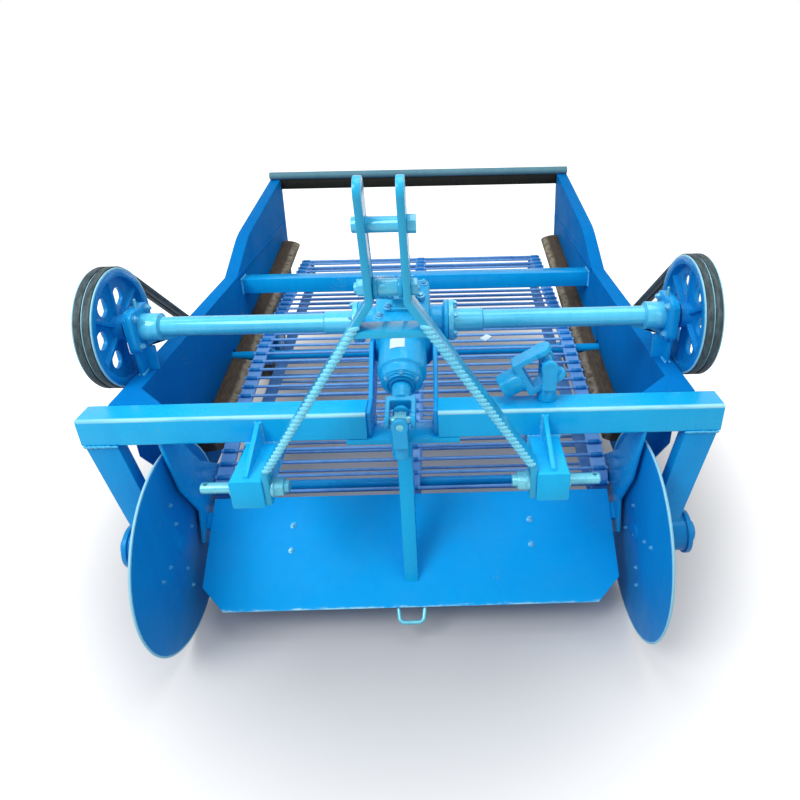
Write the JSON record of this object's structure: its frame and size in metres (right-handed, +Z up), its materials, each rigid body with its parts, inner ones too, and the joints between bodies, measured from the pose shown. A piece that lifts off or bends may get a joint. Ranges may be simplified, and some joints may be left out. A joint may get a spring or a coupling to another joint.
{
  "type": "two-row potato digger",
  "caption": "Tractor-mounted potato digger: flat share and rolling disc coulters in front of a rod-link web between tall side walls, driven through a gearbox, cross shaft and V-belts.",
  "frame": {"origin": "middle of the object's box at ground level", "axes": "+X to the machine's right side seen from behind the tractor's front, +Y to the rear, +Z up; the tractor stands at -Y"},
  "size_m": [1.716, 2.347, 1.375],
  "materials": {
    "frame_paint": "gloss",
    "share_paint": "gloss",
    "pulley_paint": "gloss",
    "web_steel": "gloss",
    "bare_steel": "satin",
    "belt_rubber": "matte",
    "strip_rubber": "matte",
    "tyre_rubber": "matte"
  },
  "bodies": {
    "frame": {"axle_tube_left": "frame_paint", "axle_tube_right": "frame_paint", "beam_notch_plate": "frame_paint", "bearing_bracket_left": "frame_paint", "bearing_bracket_right": "frame_paint", "centre_leg": "frame_paint", "coulter_leg_left": "frame_paint", "coulter_leg_right": "frame_paint", "elevator_web": "web_steel", "front_beam_left": "frame_paint", "front_beam_right": "frame_paint", "gearbox_housing": "frame_paint", "gearbox_mounts": "frame_paint", "hitch_bracket_left": "frame_paint", "hitch_bracket_right": "frame_paint", "lower_hitch_pins": "bare_steel", "mast_brace_left": "frame_paint", "mast_brace_right": "frame_paint", "mast_saddle": "frame_paint", "mast_spacer_bolt": "frame_paint", "mast_stay": "frame_paint", "rear_curtain": "strip_rubber", "rear_tie_bar": "frame_paint", "seal_strips": "strip_rubber", "share_arms": "frame_paint", "share_blade": "share_paint", "share_carrier": "share_paint", "share_loop": "bare_steel", "side_wall_left": "frame_paint", "side_wall_right": "frame_paint", "stowed_joint": "frame_paint", "top_link_pin": "frame_paint", "upper_crossbar": "frame_paint", "v_belts_left": "belt_rubber", "v_belts_right": "belt_rubber", "web_bearings": "frame_paint", "web_rollers": "web_steel", "wheel_brackets": "frame_paint"},
    "drive_shaft": {"cross_shaft": "bare_steel", "drive_pulley_left": "pulley_paint", "drive_pulley_right": "pulley_paint"},
    "web_shaft": {"web_drive_shaft": "frame_paint", "driven_pulleys": "pulley_paint"},
    "input_shaft": {"input_shaft": "frame_paint"},
    "joint_cross": {"joint_cross": "bare_steel"},
    "outer_yoke": {"outer_yoke": "frame_paint"},
    "left_coulter": {"coulter_disc_left": "frame_paint"},
    "right_coulter": {"coulter_disc_right": "frame_paint"},
    "left_wheel": {"wheel_rim_left": "frame_paint", "wheel_tyre_left": "tyre_rubber"},
    "right_wheel": {"wheel_rim_right": "frame_paint", "wheel_tyre_right": "tyre_rubber"}
  },
  "joints": [
    {"name": "drive_shaft_turn", "type": "hinge", "parent": "frame", "child": "drive_shaft", "pos_m": [0, -0.6015, 0.877], "axis": [1, 0, 0], "continuous": true},
    {"name": "web_shaft_turn", "type": "hinge", "parent": "frame", "child": "web_shaft", "pos_m": [0, 0.0145, 0.477], "axis": [1, 0, 0], "continuous": true},
    {"name": "input_shaft_turn", "type": "hinge", "parent": "frame", "child": "input_shaft", "pos_m": [0, -0.93617, 0.74987], "axis": [0, 0.9348, 0.3551], "continuous": true},
    {"name": "joint_cross_swing", "type": "hinge", "parent": "input_shaft", "child": "joint_cross", "pos_m": [0, -0.93617, 0.74987], "axis": [1, 0, 0], "range_deg": [-110, 5]},
    {"name": "outer_yoke_swing", "type": "hinge", "parent": "joint_cross", "child": "outer_yoke", "pos_m": [0, -0.93617, 0.74987], "axis": [0, 1, 0], "range_deg": [-20, 20]},
    {"name": "left_coulter_roll", "type": "hinge", "parent": "frame", "child": "left_coulter", "pos_m": [-0.668, -0.8715, 0.302], "axis": [1, 0, 0], "continuous": true},
    {"name": "right_coulter_roll", "type": "hinge", "parent": "frame", "child": "right_coulter", "pos_m": [0.668, -0.8715, 0.302], "axis": [1, 0, 0], "continuous": true},
    {"name": "left_wheel_roll", "type": "hinge", "parent": "frame", "child": "left_wheel", "pos_m": [-0.815, 0.7485, 0.2], "axis": [1, 0, 0], "continuous": true},
    {"name": "right_wheel_roll", "type": "hinge", "parent": "frame", "child": "right_wheel", "pos_m": [0.815, 0.7485, 0.2], "axis": [1, 0, 0], "continuous": true}
  ],
  "couplings": [
    {"joint": "web_shaft_turn", "follows": "drive_shaft_turn", "ratio": 2.15},
    {"joint": "input_shaft_turn", "follows": "drive_shaft_turn", "ratio": 1}
  ]
}
